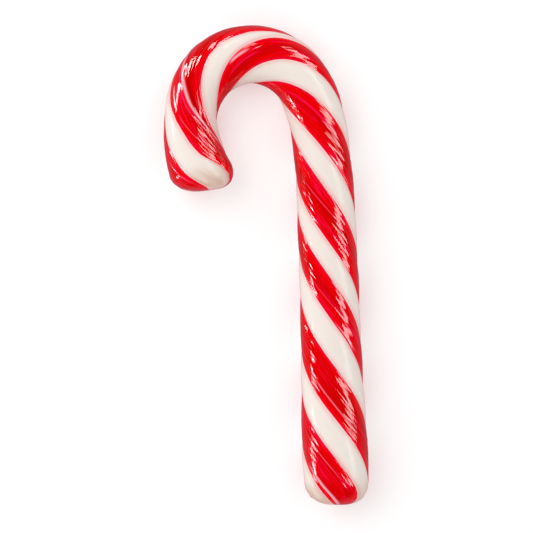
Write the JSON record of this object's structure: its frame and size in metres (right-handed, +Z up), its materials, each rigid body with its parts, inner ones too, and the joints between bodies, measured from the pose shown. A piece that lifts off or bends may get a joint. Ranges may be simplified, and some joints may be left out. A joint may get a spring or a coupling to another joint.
{
  "type": "candy cane",
  "caption": "Thick pulled-sugar candy cane with red and white twisted strands, bent into a hook, lying on its side.",
  "frame": {"origin": "on the surface the cane lies on, below the middle of its bounding box", "axes": "+Y runs along the shaft from the foot to the top of the hook, +X points away from the hook's open side, +Z is up, through the cane's thickness"},
  "size_m": [0.0598, 0.1398, 0.0189],
  "materials": {
    "striped_sugar": "glossy"
  },
  "bodies": {
    "root": {"candy_cane": "striped_sugar"}
  },
  "joints": []
}
